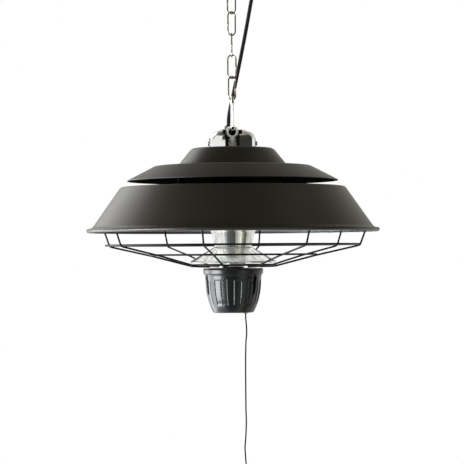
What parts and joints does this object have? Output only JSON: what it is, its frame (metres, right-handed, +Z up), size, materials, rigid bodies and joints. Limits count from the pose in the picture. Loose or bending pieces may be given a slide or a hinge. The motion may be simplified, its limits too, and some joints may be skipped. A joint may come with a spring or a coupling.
{
  "type": "hanging patio heater",
  "caption": "Pendant halogen patio heater: a wide dark shade with a wire guard, a bright reflector column and a fluted pot with a pull cord, hung on a chain.",
  "frame": {"origin": "centre of the ceiling plate's top face, where the fitting meets the ceiling", "axes": "+Z up out of the plate into the ceiling; -Y towards the camera side; +X to the right of it, the side of the pull cord"},
  "size_m": [0.4998, 0.4998, 0.9017],
  "materials": {
    "dark_paint": "satin dark olive brown",
    "chrome": "polished",
    "zinc": "bright zinc plated",
    "steel": "plain",
    "brushed_aluminium": "finely brushed",
    "polished_aluminium": "polished",
    "black_wire": "black powder coat",
    "black_plastic": "fine moulded texture",
    "grey_plastic": "moulded",
    "cable_sheath": "smooth sheath",
    "quartz": "clear quartz with a pale gold coat",
    "tungsten": "wound wire",
    "ceramic": "unglazed ceramic",
    "cord_yarn": "braided"
  },
  "bodies": {
    "ceiling_fitting": {"ceiling_plate": "steel", "ceiling_rose": "dark_paint", "ceiling_hook": "zinc", "rose_cable_bush": "black_plastic", "supply_cable_1": "cable_sheath"},
    "link_1": {"chain_link_1": "zinc", "supply_cable_2": "cable_sheath"},
    "link_2": {"chain_link_2": "zinc", "supply_cable_3": "cable_sheath"},
    "link_3": {"chain_link_3": "zinc", "supply_cable_4": "cable_sheath"},
    "link_4": {"chain_link_4": "zinc", "supply_cable_5": "cable_sheath"},
    "link_5": {"chain_link_5": "zinc", "supply_cable_6": "cable_sheath"},
    "snap": {"snap_hook": "zinc"},
    "gate": {"snap_hook_gate": "zinc"},
    "heater": {"eye_nut": "zinc", "eye_stud": "zinc", "stud_nut": "zinc", "stud_washer": "zinc", "top_cover": "chrome", "cover_screw_left": "chrome", "cover_screw_right": "chrome", "terminal_box": "black_plastic", "cable_gland": "black_plastic", "gland_nut": "black_plastic", "top_cap": "dark_paint", "brim_hood": "dark_paint", "main_shade": "dark_paint", "shade_spacer_1": "steel", "shade_spacer_2": "steel", "shade_spacer_3": "steel", "shade_spacer_4": "steel", "centre_tube": "steel", "tube_nut": "zinc", "upper_reflector": "polished_aluminium", "reflector_column": "brushed_aluminium", "lower_reflector": "polished_aluminium", "lamp_tube": "quartz", "lamp_filament": "tungsten", "lamp_end_cap_1": "ceramic", "lamp_end_cap_2": "ceramic", "lamp_clip_1": "steel", "lamp_clip_2": "steel", "lamp_clip_3": "steel", "wire_guard": "black_wire", "guard_clip_1": "steel", "guard_clip_2": "steel", "guard_clip_3": "steel", "guard_clip_4": "steel", "pot_cover": "black_plastic", "pot_body": "black_plastic", "switch_case": "grey_plastic", "cord_bush": "black_plastic", "supply_cable_7": "cable_sheath"},
    "drum": {"switch_drum": "ceramic"},
    "pull": {"pull_cord": "cord_yarn", "pull_knob": "black_plastic"}
  },
  "joints": [
    {"name": "link_1_swing", "type": "hinge", "parent": "ceiling_fitting", "child": "link_1", "pos_m": [0, 0, -0.0519], "axis": [0.342, 0.9397, 0], "range_deg": [-12, 12], "deforming": ["supply_cable_1"]},
    {"name": "link_2_swing", "type": "hinge", "parent": "link_1", "child": "link_2", "pos_m": [0, 0, -0.0876], "axis": [-0.9397, 0.342, 0], "range_deg": [-12, 12], "deforming": ["supply_cable_2"]},
    {"name": "link_3_swing", "type": "hinge", "parent": "link_2", "child": "link_3", "pos_m": [0, 0, -0.1245], "axis": [0.866, 0.5, 0], "range_deg": [-12, 12], "deforming": ["supply_cable_3"]},
    {"name": "link_4_swing", "type": "hinge", "parent": "link_3", "child": "link_4", "pos_m": [0, 0, -0.1614], "axis": [0, -1, 0], "range_deg": [-12, 12], "deforming": ["supply_cable_4"]},
    {"name": "link_5_swing", "type": "hinge", "parent": "link_4", "child": "link_5", "pos_m": [0, 0, -0.1983], "axis": [-0.9659, 0.2588, 0], "range_deg": [-12, 12], "deforming": ["supply_cable_5"]},
    {"name": "snap_swing", "type": "hinge", "parent": "link_5", "child": "snap", "pos_m": [0, 0, -0.2352], "axis": [0.8192, 0.5736, 0], "range_deg": [-12, 12], "deforming": ["supply_cable_6"]},
    {"name": "heater_swing", "type": "hinge", "parent": "snap", "child": "heater", "pos_m": [0, 0, -0.2868], "axis": [-0.0698, 0.9976, 0], "range_deg": [-12, 12], "deforming": ["supply_cable_7"]},
    {"name": "gate_hinge", "type": "hinge", "parent": "snap", "child": "gate", "pos_m": [-0.00059, 0.0084, -0.273], "axis": [0.9976, 0.0698, 0], "range_deg": [0, 22], "stiffness_Nm_per_rad": 0.02, "springref_deg": -11.46},
    {"name": "pull_slide", "type": "slide", "parent": "heater", "child": "pull", "axis": [0, 0, -1], "range_m": [0, 0.012], "stiffness_N_per_m": 200, "springref_m": -0.002},
    {"name": "drum_turn", "type": "hinge", "parent": "heater", "child": "drum", "pos_m": [0.012, 0, -0.56], "axis": [0, 1, 0], "range_deg": [0, 82]}
  ],
  "couplings": [
    {"joint": "drum_turn", "follows": "pull_slide", "rad_per_m": 117.65}
  ]
}
